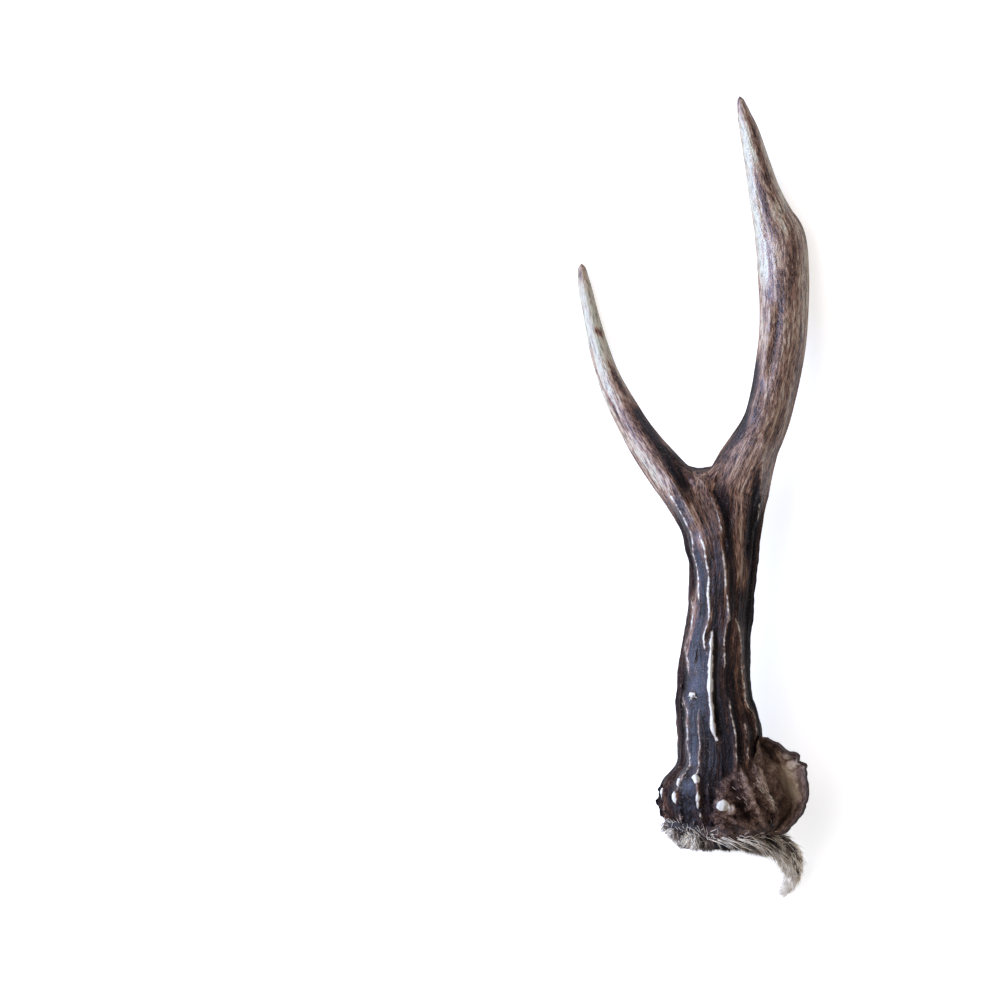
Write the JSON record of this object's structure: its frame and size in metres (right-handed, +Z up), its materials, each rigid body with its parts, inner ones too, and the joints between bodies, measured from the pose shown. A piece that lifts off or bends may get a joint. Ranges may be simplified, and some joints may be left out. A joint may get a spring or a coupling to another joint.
{
  "type": "deer antler",
  "caption": "Forked roe-type antler on its side: ridged beam with pearled burr, long and short tine, dried hide cup and haired skin at the sawn pedicle.",
  "frame": {"origin": "on the surface the antler lies on, under the middle of its outline", "axes": "+Y from the burr to the tips, +Z up, +X towards the long tine's side"},
  "size_m": [0.0742, 0.2542, 0.04],
  "materials": {
    "antler_bone": "satin",
    "dried_hide": "satin",
    "deer_hair": "matte"
  },
  "bodies": {
    "root": {"beam": "antler_bone", "long_tine": "antler_bone", "short_tine": "antler_bone", "hide_flap": "dried_hide", "pelt": "deer_hair"}
  },
  "joints": []
}
